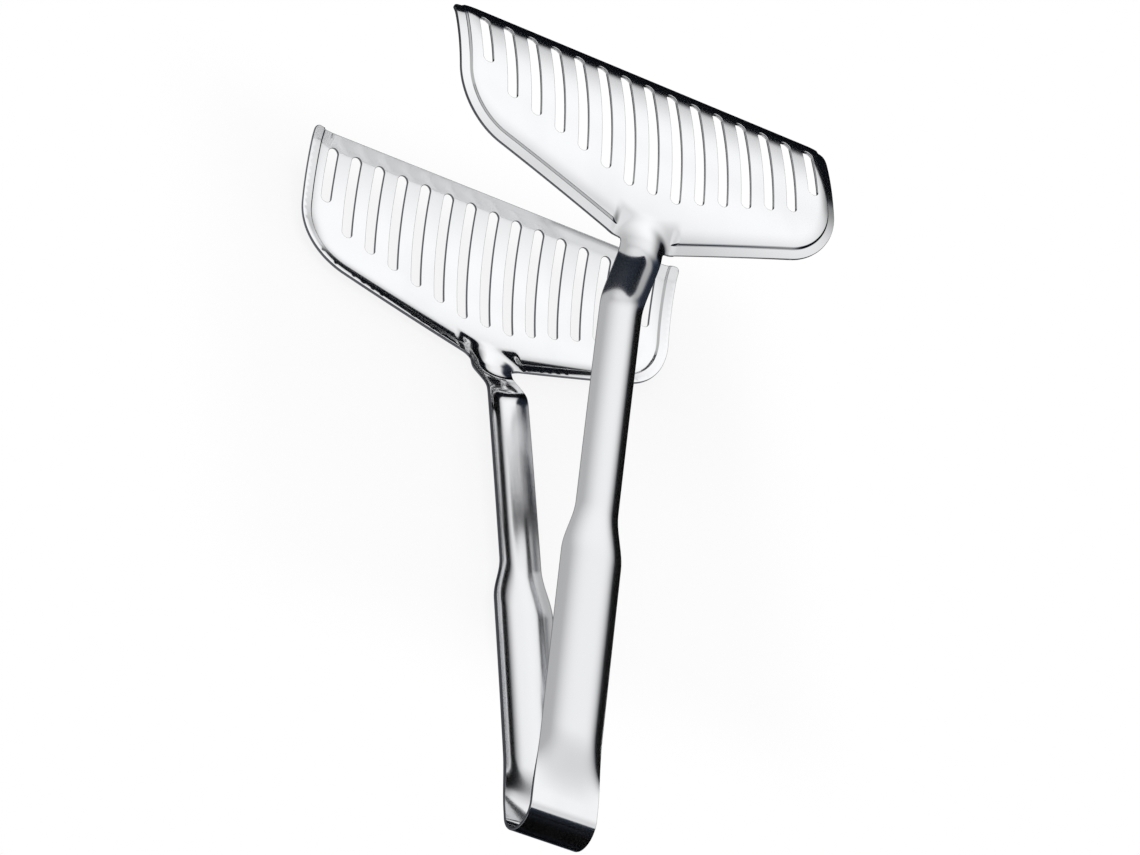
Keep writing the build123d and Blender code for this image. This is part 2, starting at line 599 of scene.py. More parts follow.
@dataclass(frozen=True)
class Spacing:
    """Distances between the points of the pressed sheet's mesh."""

    edge: float = 0.55
    fine: float = 0.35
    band: float = 0.26
    band_start: float = 1.79
    band_end: float = 5.3
    panel: float = 1.3
    neck: float = 0.75
    arm_row: float = 1.5
    columns: int = 20
    slot_ring: float = 0.55
    clear_share: float = 0.6


def eased(value: float, start: float, end: float) -> float:
    """Share from 0 at start to 1 at end that starts and ends gently."""
    share = min(max((value - start) / (end - start), 0.0), 1.0)
    return share * share * (3 - 2 * share)


def mirrored(places: list[Point]) -> list[Point]:
    """The same points on the other side of the middle."""
    return [(-across, along) for across, along in places]


def spread(start: Point, end: Point, spacing: float) -> list[Point]:
    """Points along a line, from its start up to but not including its end.

    Args:
        start: the first point.
        end: the point that the line runs to.
        spacing: the largest distance between two points.

    Returns:
        The points.
    """
    steps = max(1, math.ceil(math.dist(start, end) / spacing))
    return [
        (start[0] + (end[0] - start[0]) * step / steps, start[1] + (end[1] - start[1]) * step / steps)
        for step in range(steps)
    ]


def arc(centre: Point, radius: float, start: float, end: float, spacing: float) -> list[Point]:
    """Points along an arc, from its start up to but not including its end.

    Args:
        centre: the arc's centre.
        radius: its radius.
        start: the angle at which it starts, in degrees.
        end: the angle at which it ends, in degrees.
        spacing: the largest distance between two points.

    Returns:
        The points.
    """
    steps = max(FEWEST_ARC_STEPS, math.ceil(abs(math.radians(end - start)) * radius / spacing))
    angles = [math.radians(start + (end - start) * step / steps) for step in range(steps)]
    return [(centre[0] + radius * math.cos(angle), centre[1] + radius * math.sin(angle)) for angle in angles]


@dataclass
class SlotRow:
    """The row of slots, as outlines in the flat sheet."""

    sizes: SlotSizes
    jaw: JawSizes
    circle_points: int = 24
    side_spacing: float = 0.8
    split_band: float = 0.001

    def tree(self) -> GeometryTree:
        """Builds the node tree that repeats the slots.

        Returns:
            The tree, which puts out one closed outline for each slot.
        """
        sizes = {
            "Slot Count": float(self.sizes.count),
            "Middle Number": (self.sizes.count - 1) / 2,
            "Pitch": self.sizes.pitch,
            "Radius": self.sizes.width / 2,
            "Margin": self.sizes.margin,
            "End Margin": self.sizes.end_margin,
            "Edge Slope": self.jaw.back_slope,
            "Apex": self.jaw.apex,
            "Top": self.sizes.top_at,
        }
        grown = GeometryTree("slot_row", sizes)
        size = grown.size
        line = grown.node("GeometryNodeMeshLine", {"Count": size("Slot Count")})
        numbered = grown.stored(line.outputs[0], "slot", grown.node("GeometryNodeInputIndex").outputs[0])
        ring = {"Vertices": self.circle_points, "Radius": size("Radius")}
        outline = grown.node("GeometryNodeMeshCircle", ring, fill_type="NONE")
        row = grown.node("GeometryNodeInstanceOnPoints", {"Points": numbered, "Instance": outline.outputs[0]})
        real = grown.node("GeometryNodeRealizeInstances", {"Geometry": row.outputs[0]})
        slot = grown.attribute("slot") - size("Middle Number")
        x, y, _ = grown.position()
        across = slot * size("Pitch")
        steps = abs(across).most(size("Pitch"))
        last = abs(slot).ramp(size("Middle Number") - 1, size("Middle Number"), Blend.STRAIGHT)
        margin = size("Margin").mixed(size("End Margin"), last)
        foot = size("Apex") + steps * size("Edge Slope") + margin + size("Radius")
        top = size("Top") - size("Radius")
        upper = y.ramp(-self.split_band, self.split_band, Blend.STRAIGHT)
        along = y + foot + upper * (top - foot)
        grown.finish(grown.moved(real.outputs[0], (x + across, along, 0.0)))
        return grown

    def outlines(self) -> list[list[Point]]:
        """Runs the tree and reads the outlines.

        Returns:
            One list of points for each slot, in order round it.
        """
        mesh = self.tree().run(bpy.data.meshes.new("slot_seed"), None, "slot_row")
        size = self.circle_points
        places = [(vertex.co.x, vertex.co.y) for vertex in mesh.vertices]
        bpy.data.meshes.remove(mesh)
        return [places[start:start + size] for start in range(0, len(places), size)]

    def rounded(self) -> list[list[Point]]:
        """The outlines with points along their straight sides too.

        Returns:
            One list of points for each slot, in order round it.
        """
        rings = []
        for ring in self.outlines():
            pairs = zip(ring, ring[1:] + ring[:1])
            rings.append([place for start, end in pairs for place in spread(start, end, self.side_spacing)])
        return rings

    def ring_round(self, ring: list[Point], offset: float) -> list[Point]:
        """The points of a ring that keeps the same distance from a slot's edge.

        Args:
            ring: the slot's outline.
            offset: the distance from it.

        Returns:
            The points.
        """
        radius = self.sizes.width / 2
        centre = sum(across for across, _ in ring) / len(ring)
        foot = min(along for _, along in ring) + radius
        top = max(along for _, along in ring) - radius
        places = []
        for across, along in ring:
            spine = min(max(along, foot), top)
            grown = 1 + offset / radius
            places.append((centre + (across - centre) * grown, spine + (along - spine) * grown))
        return places


class Sieve:
    """Keeps the points that stay clear of all the points kept before them."""

    def __init__(self, cell: float = 1.0) -> None:
        """Starts empty.

        Args:
            cell: the size of the cells that points are sorted into, at least the largest clearance.
        """
        self.cell = cell
        self.kept: list[Point] = []
        self.cells: dict[tuple[int, int], list[Point]] = {}

    def add(self, places: list[Point], clearance: float) -> None:
        """Keeps those points of a list that are clear.

        Args:
            places: the points to add.
            clearance: the distance that each must keep from the points kept before it.
        """
        for place in places:
            column, row = int(place[0] // self.cell), int(place[1] // self.cell)
            near = (
                other
                for i in (column - 1, column, column + 1)
                for j in (row - 1, row, row + 1)
                for other in self.cells.get((i, j), ())
            )
            if all(math.dist(place, other) >= clearance for other in near):
                self.cells.setdefault((column, row), []).append(place)
                self.kept.append(place)


def net(low: Point, high: Point, spacing: float) -> list[Point]:
    """A net of staggered rows over a rectangle that is centred on the middle.

    Args:
        low: the rectangle's lowest corner.
        high: its highest corner.
        spacing: the distance between neighbours.

    Returns:
        The points.
    """
    rise = spacing * math.sqrt(3) / 2
    rows = int((high[1] - low[1]) / rise) + 1
    side = int((high[0] - low[0]) / spacing / 2)
    return [
        ((column + (row % 2) / 2) * spacing, low[1] + row * rise)
        for row in range(rows)
        for column in range(-side - row % 2, side + 1)
    ]


@dataclass
class LimbPlan:
    """The flat blank of one limb: its outline, its slots and the points of its mesh."""

    bow: BowSizes
    arm: ArmSizes
    neck: NeckSizes
    jaw: JawSizes
    spacing: Spacing
    slots: SlotRow

    @property
    def rows(self) -> list[float]:
        """Spaces the rows of points along the arm.

        Returns:
            The rows' places along the arm.
        """
        start, end = self.bow.leg_end[0], self.arm.rows_end
        count = round((end - start) / self.spacing.arm_row)
        return [start + (end - start) * row / count for row in range(count + 1)]

    def half_width(self, along: float) -> float:
        """Measures the arm.

        Args:
            along: the distance from the back of the bow.

        Returns:
            Half the arm's width there.
        """
        arm = self.arm
        start = self.bow.strip_width / 2
        grip = start + (arm.grip_half - start) * eased(along, self.bow.leg_end[0], arm.trough_end)
        return grip + (arm.shank_half - grip) * eased(along, arm.shoulder_start, arm.shoulder_end)

    def rim_line(self, inset: float, start: float, gap: float) -> list[Point]:
        """Points along a line that keeps a distance from the right rim's edge.

        Args:
            inset: the distance from the edge.
            start: the distance from the middle at which the line starts.
            gap: the distance between the points.

        Returns:
            The points, from the neck round the corner to the tip.
        """
        jaw = self.jaw
        slope = math.radians(jaw.edge_slope)
        radius = jaw.corner_radius - inset
        rise = inset / math.cos(slope)
        foot = jaw.corner[0] + radius * math.sin(slope)
        side = jaw.corner[0] + radius
        line = spread((start, jaw.back_edge(start) + rise), (foot, jaw.back_edge(foot) + rise), gap)
        line += arc(jaw.corner, radius, jaw.edge_slope - 90.0, 0.0, gap)
        return line + spread((side, jaw.corner[1]), (side, jaw.reach), gap)

    def outline(self) -> list[Point]:
        """The limb's outline, round to the left from the right end of the seam.

        Returns:
            The points in order.
        """
        jaw, neck = self.jaw, self.neck
        slope = math.radians(jaw.edge_slope)
        turn = math.tan((math.pi / 2 - slope) / 2) * neck.corner_fillet
        root = (self.arm.shank_half, jaw.back_edge(self.arm.shank_half))
        side = [(self.half_width(along), along) for along in self.rows[:-1]]
        side += spread((root[0], self.rows[-1]), (root[0], root[1] - turn), self.spacing.neck)
        centre = (root[0] + neck.corner_fillet, root[1] - turn)
        side += arc(centre, neck.corner_fillet, 180.0, 90.0 + jaw.edge_slope, self.spacing.fine)
        line = self.rim_line(0.0, root[0] + turn * math.cos(slope), self.spacing.edge)
        high = (jaw.half_width - jaw.tip_fillet, jaw.reach - jaw.tip_fillet)
        side += [place for place in line if place[1] < high[1] - self.spacing.fine]
        side += arc(high, jaw.tip_fillet, 0.0, 90.0, self.spacing.fine)
        side += spread((high[0], jaw.reach), (0.0, jaw.reach), self.spacing.edge)
        seam, columns = self.bow.strip_width, self.spacing.columns
        foot = [(seam * (column / columns - 0.5), self.rows[0]) for column in range(1, columns)]
        return side + [(0.0, jaw.reach)] + mirrored(side)[::-1] + foot

    def inner_points(self, sieve: Sieve) -> None:
        """Adds the points inside the outline: along the rim, in rows along the arm, and in nets.

        Args:
            sieve: what keeps the points clear of each other.
        """
        gap, jaw = self.spacing, self.jaw
        steps = round((gap.band_end - gap.band_start) / gap.band)
        for step in range(steps + 1):
            inset = gap.band_start + gap.band * step
            line = self.rim_line(inset, jaw.crease_start, gap.edge)
            inside = [place for place in line if place[1] < jaw.reach - gap.fine]
            sieve.add(inside + mirrored(inside), gap.band * gap.clear_share)
        for along in self.rows[1:]:
            shares = [2 * column / gap.columns - 1 for column in range(1, gap.columns)]
            sieve.add([(self.half_width(along) * share, along) for share in shares], gap.fine)
        shank, dome = self.arm.shank_half, jaw.crease_end + gap.neck
        nets = (
            ((-shank, self.rows[-1] + gap.neck), (shank, jaw.apex), gap.neck),
            ((-dome, jaw.apex), (dome, self.neck.nose_at + dome), gap.neck),
            ((-jaw.half_width, jaw.apex), (jaw.half_width, jaw.reach), gap.panel),
        )
        for low, high, spacing in nets:
            sieve.add(net(low, high, spacing), spacing * gap.clear_share)

    def blank(self) -> bpy.types.Mesh:
        """Lays out the blank.

        Returns:
            A flat mesh in millimetres, across as x and along as y, with the slots cut out.
        """
        slots = self.slots.rounded()
        rings = [self.outline(), *slots]
        sieve = Sieve()
        for ring in rings:
            sieve.add(ring, 0.0)
        for ring in slots:
            sieve.add(self.slots.ring_round(ring, self.spacing.slot_ring), self.spacing.fine)
        self.inner_points(sieve)
        starts = [sum(len(ring) for ring in rings[:index]) for index in range(len(rings))]
        loops = [list(range(start, start + len(ring))) for start, ring in zip(starts, rings)]
        points = [Vector(place) for place in sieve.kept]
        points, _, triangles, _, _, inside = delaunay_2d_cdt(points, [], loops, INSIDE_OF_LOOPS, OUTPUT_LIMIT)
        faces = [list(face) for face, around in zip(triangles, inside) if list(around) == [0]]
        used = sorted({index for face in faces for index in face})
        number = {index: place for place, index in enumerate(used)}
        mesh = bpy.data.meshes.new("limb_blank")
        places = [(*points[index], 0.0) for index in used]
        mesh.from_pydata(places, [], [[number[index] for index in face] for face in faces])
        return mesh


@dataclass
class Press:
    """The dies: how the flat blank of a limb takes its shape.

    Normals come from the formula's differences over the distance probe. The cut edges get a matt finish and a painted
    dark shade; on the upper jaw, those further in than edge_band, which are those of the slots, get less of both.
    """

    laid: TableFrame
    sheet: SheetSizes
    bow: BowSizes
    arm: ArmSizes
    neck: NeckSizes
    jaw: JawSizes
    probe: float = 0.02
    edge_band: tuple[float, float] = (2.0, 3.0)
    # Share of the rough finish and the painted dark shade that the upper jaw's slot edges keep.
    upper_slot_dull_shade: float = 0.4

    def inputs(self, half: Half) -> dict[str, float]:
        """The tree's named sizes.

        Args:
            half: which of the two halves is pressed.

        Returns:
            Each input's name and value.
        """
        arm, neck, jaw = self.arm, self.neck, self.jaw
        leg_along, leg_up = self.bow.leg_end
        corner_across, corner_along = jaw.corner
        return {
            "Side": half.value,
            "Thickness": self.sheet.thickness,
            "Seam Along": leg_along,
            "Seam Up": leg_up,
            "Start Slope": arm.start_slope,
            "Bend Rate": arm.bend_rate,
            "Strip Half Width": self.bow.strip_width / 2,
            "Grip Half Width": arm.grip_half,
            "Grip Crown": arm.grip_crown,
            "Shank Half Width": arm.shank_half,
            "Shank Crown": arm.shank_crown,
            "Trough End": arm.trough_end,
            "Shoulder Start": arm.shoulder_start,
            "Shoulder End": arm.shoulder_end,
            "Crest Share": arm.crest_share,
            "Grip Profile": arm.grip_profile,
            "Shank Profile": arm.shank_profile,
            "Ramp Foot Along": neck.foot_at,
            "Ramp Foot Up": neck.foot_up,
            "Ramp Slope": neck.slope,
            "Ramp Foot Rounding": neck.foot_rounding,
            "Ramp Top Rounding": neck.top_rounding,
            "Nose Along": neck.nose_at,
            "Nose Up": neck.nose_up,
            "Nose Slope": neck.nose_slope,
            "Nose Run": neck.nose_run,
            "Nose Crown": neck.nose_crown,
            "Nose Profile": neck.profile,
            "Crown End": neck.crown_end,
            "Valley Rounding": neck.valley_rounding,
            "Jaw Half Width": jaw.half_width,
            "Apex": jaw.apex,
            "Edge Slope": jaw.back_slope,
            "Edge Cosine": math.cos(math.radians(jaw.edge_slope)),
            "Corner Radius": jaw.corner_radius,
            "Corner Across": corner_across,
            "Corner Along": corner_along,
            "Belly Radius": jaw.belly_radius,
            "Belly Along": jaw.crown_at,
            "Belly Up": jaw.belly_centre_up,
            "Reach": jaw.reach,
            "Tip Up": jaw.tip_up,
            "Lip Slope": jaw.lip_slope,
            "Lip Rounding": jaw.lip_rounding,
            "Rim Step": jaw.rim_step,
            "Flange Rise": jaw.flange_rise,
            "Wall Rise": jaw.wall_rise,
            "Step Start": jaw.step_start,
            "Wall Run": jaw.wall_run,
            "Shoulder Run": jaw.shoulder_run,
            "Wall Shift": jaw.wall_shift,
            "Soft Run": jaw.soft_run,
            "Crease Start": jaw.crease_start,
            "Crease End": jaw.crease_end,
            "Outside Fall": jaw.outside_fall,
            "Slot Dull Shade": self.upper_slot_dull_shade if half is Half.UPPER else 1.0,
            "Probe": self.probe,
            "Face Share": self.sheet.face_share,
        }

    def back_inset(self, tree: GeometryTree, across: Field, along: Field) -> Field:
        """Distance in from the slanted back edge of the jaw."""
        edge = tree.size("Apex") + abs(across) * tree.size("Edge Slope")
        return (along - edge) * tree.size("Edge Cosine")

    def rim_inset(self, tree: GeometryTree, across: Field, along: Field) -> Field:
        """Distance in from the rimmed edges of the jaw.

        Args:
            tree: the tree that the nodes are added to.
            across: the place across.
            along: the place along.

        Returns:
            The distance.
        """
        size = tree.size
        side = abs(across)
        straight = self.back_inset(tree, across, along).least(size("Jaw Half Width") - side)
        out = side - size("Corner Across")
        back = size("Corner Along") - along
        curved = size("Corner Radius") - (out * out + back * back).root()
        in_corner = back.math("GREATER_THAN", 0.0) * (out - back * size("Edge Slope")).math("GREATER_THAN", 0.0)
        return straight.mixed(curved, in_corner)

    def surface(self, tree: GeometryTree, across: Field, along: Field) -> Field:
        """Height of the outer face over the mid-plane, without the crisp step along the rim.

        Args:
            tree: the tree that the nodes are added to.
            across: the place across.
            along: the place along.

        Returns:
            The height.
        """
        size = tree.size
        run = along - size("Seam Along")
        centre_line = size("Seam Up") + run * size("Start Slope") + run * run * size("Bend Rate")
        trough = along.ramp(size("Seam Along"), size("Trough End"))
        shoulder = along.ramp(size("Shoulder Start"), size("Shoulder End"))
        neck = along.ramp(size("Ramp Foot Along"), size("Crown End"))
        half = size("Strip Half Width").mixed(size("Grip Half Width"), trough)
        half = half.mixed(size("Shank Half Width"), shoulder)
        crown = trough * size("Grip Crown").mixed(size("Shank Crown"), shoulder)
        crest = centre_line + crown * size("Crest Share")
        ramp = size("Ramp Foot Up") + (along - size("Ramp Foot Along")) * size("Ramp Slope")
        rise = (along - size("Nose Along")).most(size("Nose Run") * -1.0) * size("Nose Slope")
        nose = size("Nose Up") + rise
        crest = crest.most(ramp, size("Ramp Foot Rounding")).least(nose, size("Ramp Top Rounding"))
        crown = crown.mixed(size("Nose Crown"), neck)
        profile = size("Grip Profile").mixed(size("Shank Profile"), shoulder).mixed(size("Nose Profile"), neck)
        past = (along - size("Nose Along")).most(0.0)
        reach = (across * across + past * past).root()
        ridge = crest - crown * (reach / half) ** profile
        bow = along - size("Belly Along")
        belly = (size("Belly Radius") * size("Belly Radius") - bow * bow).root() + size("Belly Up")
        lip = size("Tip Up") + (size("Reach") - along) * size("Lip Slope")
        panel = belly.least(lip, size("Lip Rounding"))
        inset = self.back_inset(tree, across, along)
        panel = panel + inset.least(0.0) * size("Outside Fall")
        panel = panel - self.softness(tree, across) * size("Rim Step") * (1.0 - inset.ramp(0.0, size("Soft Run")))
        return ridge.most(panel, size("Valley Rounding"))

    def softness(self, tree: GeometryTree, across: Field) -> Field:
        """Share of the rim's step that is soft: 1 next to the neck and 0 further out."""
        return 1.0 - abs(across).ramp(tree.size("Crease Start"), tree.size("Crease End"))

    def drop(self, tree: GeometryTree, across: Field, along: Field, depth: Field) -> Field:
        """How far the crisp step lowers the rim.

        Args:
            tree: the tree that the nodes are added to.
            across: the place across.
            along: the place along.
            depth: the depth under the outer face, which moves the step inwards.

        Returns:
            The drop.
        """
        size = tree.size
        inset = self.rim_inset(tree, across, along) - depth * size("Wall Shift")
        wall_end = size("Step Start") + size("Wall Run")
        flange = inset.ramp(0.0, size("Step Start"), Blend.STRAIGHT) * size("Flange Rise")
        wall = inset.ramp(size("Step Start"), wall_end, Blend.STRAIGHT) * size("Wall Rise")
        left = 1.0 - inset.ramp(wall_end, wall_end + size("Shoulder Run"), Blend.STRAIGHT)
        shoulder = (size("Rim Step") - size("Flange Rise") - size("Wall Rise")) * (1.0 - left * left)
        return (size("Rim Step") - flange - wall - shoulder) * (1.0 - self.softness(tree, across))

    def tree(self, half: Half) -> GeometryTree:
        """Builds the node tree that presses a blank.

        Args:
            half: which of the two halves is pressed.

        Returns:
            The tree.
        """
        grown = GeometryTree(f"press_{half.name.lower()}", self.inputs(half), {"Turn Faces": half is Half.LOWER})
        size = grown.size
        across, along, height = grown.position()
        depth = size("Thickness") - height
        probe = size("Probe")
        places = ((across, along), (across + probe, along), (across, along + probe))
        smooth = [self.surface(grown, *place) for place in places]
        on_jaw = along.math("GREATER_THAN", size("Apex"))
        drops = [self.drop(grown, *place, depth) * on_jaw for place in places]
        slopes = [(rise - smooth[0]) / probe for rise in smooth[1:]]
        length = (slopes[0] * slopes[0] + slopes[1] * slopes[1] + 1.0).root()
        up = (smooth[0] - depth / length - drops[0]) * size("Side")
        moved = (across + depth * slopes[0] / length, along + depth * slopes[1] / length, up)
        whole = grown.face_side(height, depth)
        tilts = [(slope - (fall - drops[0]) / probe) * whole * -1.0 for slope, fall in zip(slopes, drops[1:])]
        normal = self.laid.turned(*tilts, whole * size("Side"))
        noted = grown.noted(grown.inputs.outputs["Geometry"], FACE_NORMAL, normal)
        inner = self.rim_inset(grown, across, along).least(size("Reach") - along).ramp(*self.edge_band)
        # Cut edges: a rougher finish and a painted dark shade, less of both at the upper jaw's slots.
        dull_and_shaded = (1.0 - abs(whole)) * (1.0 - inner * (1.0 - size("Slot Dull Shade")))
        noted = grown.noted(noted, DULL_SHADED_EDGE, (dull_and_shaded,) * 3)
        pressed = grown.moved(noted, self.laid.laid(*moved))
        turned = {"Mesh": pressed, "Selection": grown.inputs.outputs["Turn Faces"]}
        grown.finish(grown.node("GeometryNodeFlipFaces", turned).outputs[0])
        return grown


@dataclass
class SheetWorker:
    """Makes a flat blank into a slab with rounded edges, and finishes the sheet once it has its shape."""

    sheet: SheetSizes

    def tree(self, seam_low: float, seam_high: float) -> GeometryTree:
        """Builds the node tree that thickens a blank and marks the edges to be rounded.

        Args:
            seam_low: the place along of the seam at the low end.
            seam_high: the place along of the seam at the high end.

        Returns:
            The tree.
        """
        sizes = {
            "Thickness": self.sheet.thickness,
            "Seam Low": seam_low + self.sheet.seam_tolerance,
            "Seam High": seam_high - self.sheet.seam_tolerance,
            "Sharp Angle": math.radians(self.sheet.sharp_angle),
        }
        grown = GeometryTree("slab", sizes)
        size = grown.size
        slab = grown.slab(size("Thickness"))
        angle = Field(grown.tree, grown.node("GeometryNodeInputMeshEdgeAngle").outputs["Unsigned Angle"])
        _, along, _ = grown.position()
        sharp = angle.math("GREATER_THAN", size("Sharp Angle"))
        sharp = sharp * along.math("GREATER_THAN", size("Seam Low")) * along.math("LESS_THAN", size("Seam High"))
        grown.finish(grown.stored(slab, "bevel_weight_edge", sharp, domain="EDGE"))
        return grown

    def slab(self, blank: bpy.types.Mesh, seam_low: float, seam_high: float, name: str) -> bpy.types.Mesh:
        """Thickens a blank and rounds its edges.

        Args:
            blank: the flat blank.
            seam_low: the place along of the seam at the low end.
            seam_high: the place along of the seam at the high end.
            name: the name of the result.

        Returns:
            The slab.
        """
        piece = placed(name + "_square", self.tree(seam_low, seam_high).run(blank, None, name + "_square"))
        bevel = piece.modifiers.new("rounded_edges", "BEVEL")
        bevel.limit_method = "WEIGHT"
        bevel.width = self.sheet.edge_rounding
        bevel.segments = self.sheet.edge_segments
        bevel.use_clamp_overlap = False
        slab = plain_mesh(piece, name)
        bpy.data.objects.remove(piece)
        return slab

    def finished(self, name: str, mesh: bpy.types.Mesh) -> bpy.types.Object:
        """Puts a shaped sheet in the scene as a piece that is shaded by the normals of its formula.

        Args:
            name: the piece's name.
            mesh: its mesh, which stores the normals of its two faces, and no normal at its edges.

        Returns:
            The piece.
        """
        mesh.shade_smooth()
        mesh.set_sharp_from_angle(angle=math.radians(self.sheet.crease_angle))
        stored = mesh.attributes[FACE_NORMAL].data
        normals = [Vector(corner.vector) for corner in mesh.corner_normals]
        for face in mesh.polygons:
            for corner in face.loop_indices:
                exact = stored[mesh.loops[corner].vertex_index].vector.normalized()
                if exact.dot(face.normal) > self.sheet.flat_cosine:
                    normals[corner] = exact
        mesh.normals_split_custom_set(normals)
        mesh.attributes.remove(mesh.attributes[FACE_NORMAL])
        return placed(name, mesh)


@dataclass(frozen=True)
class Mottle:
    """A pattern of noise over the piece's own coordinates.

    It has stretch grains to a metre along each axis and detail finer layers. Where it has a band, only the noise
    from there up shows.
    """

    stretch: tuple[float, float, float]
    detail: float
    band: tuple[float, float] | None = None

    def share(self, tree: bpy.types.NodeTree) -> Field:
        """Adds the pattern to a tree.

        Args:
            tree: the tree that the nodes are added to.

        Returns:
            The pattern, from 0 to 1.
        """
        mapping = tree.nodes.new("ShaderNodeMapping")
        plug(tree, tree.nodes.new("ShaderNodeTexCoord").outputs["Object"], mapping.inputs["Vector"])
        plug(tree, self.stretch, mapping.inputs["Scale"])
        texture = tree.nodes.new("ShaderNodeTexNoise")
        for label, value in (("Vector", mapping.outputs["Vector"]), ("Scale", 1.0), ("Detail", self.detail)):
            plug(tree, value, texture.inputs[label])
        noise = Field(tree, texture.outputs["Fac"])
        return noise.ramp(*self.band) if self.band else noise


def mottle_group(name: str, patterns: dict[str, Mottle]) -> bpy.types.NodeTree:
    """Builds a shader node group that puts out one mask for each pattern.

    Args:
        name: the group's name.
        patterns: each output's name and pattern.

    Returns:
        The group.
    """
    group = bpy.data.node_groups.new(name, "ShaderNodeTree")
    for label in patterns:
        group.interface.new_socket(name=label, in_out="OUTPUT", socket_type="NodeSocketFloat")
    end = group.nodes.new("NodeGroupOutput")
    for label, pattern in patterns.items():
        plug(group, pattern.share(group), end.inputs[label])
    return group


def painted(tree: bpy.types.NodeTree, mask: Field, below: Colour | Field, above: Colour) -> Field:
    """Lays a colour over another.

    Args:
        tree: the tree that the nodes are added to.
        mask: how much of the upper colour shows.
        below: the lower colour.
        above: the upper colour.

    Returns:
        The mixed colour.
    """
    mix = tree.nodes.new("ShaderNodeMix")
    mix.data_type = "RGBA"
    plug(tree, mask, mix.inputs["Factor"])
    plug(tree, below if isinstance(below, Field) else (*below, 1.0), mix.inputs["A"])
    plug(tree, (*above, 1.0), mix.inputs["B"])
    return Field(tree, mix.outputs["Result"])


@dataclass(frozen=True)
class PolishedSteel:
    """Bright polished stainless sheet: a faint grain, light handling marks, rougher arms and matt cut edges.

    The arms and the cut edges carry painted shade: a darker colour on the arms, near-black on the edges.
    """

    name: str = "polished_steel"
    tint: Colour = (0.80, 0.805, 0.815)
    shade: Colour = (0.75, 0.757, 0.77)
    shade_share: float = 0.6
    roughness: float = 0.075
    grain_strength: float = 0.03
    smudge_strength: float = 0.035
    # Painted shade: the arms are coloured darker for the greyer reflections they show.
    satin_shade: Colour = (0.745, 0.75, 0.765)
    satin_strength: float = 0.07
    satin_shade_start: tuple[float, float] = (-0.114, -0.1)
    satin_shade_end: tuple[float, float] = (0.028, 0.046)
    # Painted shade: the cut edges are coloured near-black for the dark they mirror.
    cut: Colour = (0.11, 0.115, 0.13)
    cut_strength: float = 0.2
    grain_height: float = 0.0000005
    scratch_height: float = 0.0000005
    grain: Mottle = Mottle((9000.0, 700.0, 9000.0), 2.0)
    scratches: Mottle = Mottle((2600.0, 90.0, 2600.0), 1.0, (0.62, 0.78))
    smudges: Mottle = Mottle((46.0, 30.0, 46.0), 3.0, (0.5, 0.78))

    def material(self) -> bpy.types.Material:
        """Builds the material.

        Returns:
            The material.
        """
        material = bpy.data.materials.new(self.name)
        material.use_nodes = True
        tree = material.node_tree
        shader = tree.nodes["Principled BSDF"]
        rolled = tree.nodes.new("ShaderNodeGroup")
        rolled.node_tree = mottle_group("rolled_grain", {"Grain": self.grain, "Scratches": self.scratches})
        handled = tree.nodes.new("ShaderNodeGroup")
        handled.node_tree = mottle_group("handling_smudges", {"Smudge": self.smudges})
        grain_mask, scratch_mask = (Field(tree, rolled.outputs[label]) for label in ("Grain", "Scratches"))
        smudge_mask = Field(tree, handled.outputs["Smudge"])
        _, along, _ = axes_of(tree, tree.nodes.new("ShaderNodeTexCoord").outputs["Object"])
        # Where the arms lie: a rougher finish and a painted darker shade there.
        satin_shade_mask = along.ramp(*self.satin_shade_start) * (1.0 - along.ramp(*self.satin_shade_end))
        edge = tree.nodes.new("ShaderNodeAttribute")
        edge.attribute_name = DULL_SHADED_EDGE
        cut_dull_shade_mask = Field(tree, edge.outputs["Fac"])
        roughness = self.roughness + grain_mask * self.grain_strength + smudge_mask * self.smudge_strength
        roughness = roughness + satin_shade_mask * self.satin_strength + cut_dull_shade_mask * self.cut_strength
        # Painted shade: the arms are coloured darker.
        colour = painted(tree, satin_shade_mask, self.tint, self.satin_shade)
        colour = painted(tree, smudge_mask * self.shade_share, colour, self.shade)
        # Painted shade: near-black on the cut edges.
        colour = painted(tree, cut_dull_shade_mask, colour, self.cut)
        bump = tree.nodes.new("ShaderNodeBump")
        height = grain_mask * self.grain_height + scratch_mask * self.scratch_height
        for label, value in (("Strength", 1.0), ("Distance", 1.0), ("Height", height)):
            plug(tree, value, bump.inputs[label])
        surface = {"Metallic": 1.0, "Roughness": roughness, "Base Color": colour, "Normal": bump.outputs["Normal"]}
        for label, value in surface.items():
            plug(tree, value, shader.inputs[label])
        return material


@dataclass
class Limb:
    """One half of the strip, from the end of the bow to the tip of the jaw."""

    half: Half
    press: Press
    plan: LimbPlan
    worker: SheetWorker

    def build(self, steel: bpy.types.Material) -> bpy.types.Object:
        """Cuts, rounds and presses the sheet of the limb.

        Args:
            steel: the finish.

        Returns:
            The limb's piece.
        """
        name = f"{self.half.name.lower()}_limb_sheet"
        past_tip = self.plan.jaw.reach + self.press.sheet.thickness
        slab = self.worker.slab(self.plan.blank(), self.plan.rows[0], past_tip, name)
        return self.worker.finished(name, self.press.tree(self.half).run(slab, steel, name))

    def dress(self, piece: bpy.types.Object) -> None:
        """Ties the piece to its body and hides the nodes that it stands for.

        Args:
            piece: the limb's piece.
        """
        half = self.half.name.lower()
        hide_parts(f"{half}_arm", f"{half}_jaw")
        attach(piece, f"{half}_limb")


